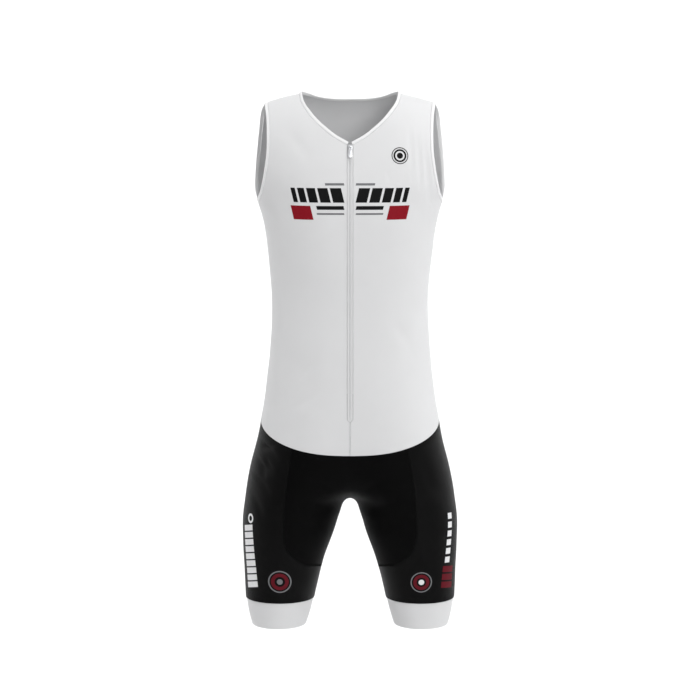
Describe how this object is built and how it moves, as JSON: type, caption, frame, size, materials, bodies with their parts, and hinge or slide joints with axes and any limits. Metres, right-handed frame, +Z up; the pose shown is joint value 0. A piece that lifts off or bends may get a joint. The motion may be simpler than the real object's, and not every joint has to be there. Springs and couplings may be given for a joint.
{
  "type": "triathlon suit",
  "caption": "Sleeveless one-piece triathlon suit in its worn shape: light zipped top, dark fitted shorts and light leg grippers.",
  "frame": {"origin": "the middle between the shoulders, on the shoulder line where a wearer carries the suit", "axes": "+Z up along the body, -Y out of the front with the zip, +X towards the wearer's left"},
  "size_m": [0.378, 0.2227, 0.9384],
  "materials": {
    "top_knit": "fine smooth white polyester knit",
    "shorts_knit": "close black elastic knit with a soft sheen",
    "insert_knit": "matt black elastic knit",
    "gripper_band": "white elastic band",
    "binding_band": "white folded elastic binding",
    "zip_tape": "light woven tape with a fine coil",
    "zip_metal": "light satin lacquer"
  },
  "bodies": {
    "suit": {"top_front_left": "top_knit", "top_front_right": "top_knit", "top_back": "top_knit", "shorts_leg_left": "shorts_knit", "shorts_leg_right": "shorts_knit", "shorts_front_insert": "insert_knit", "leg_gripper_left": "gripper_band", "leg_gripper_right": "gripper_band", "armhole_binding_left": "binding_band", "armhole_binding_right": "binding_band", "neck_binding": "binding_band", "zip_chain": "zip_tape", "zip_slider": "zip_metal"},
    "pull_tab": {"zip_pull_tab": "zip_metal"}
  },
  "joints": [
    {"name": "pull_tab_swing", "type": "hinge", "parent": "suit", "child": "pull_tab", "pos_m": [0, -0.09289, -0.07518], "axis": [-1, 0, 0], "range_deg": [0, 150]}
  ]
}
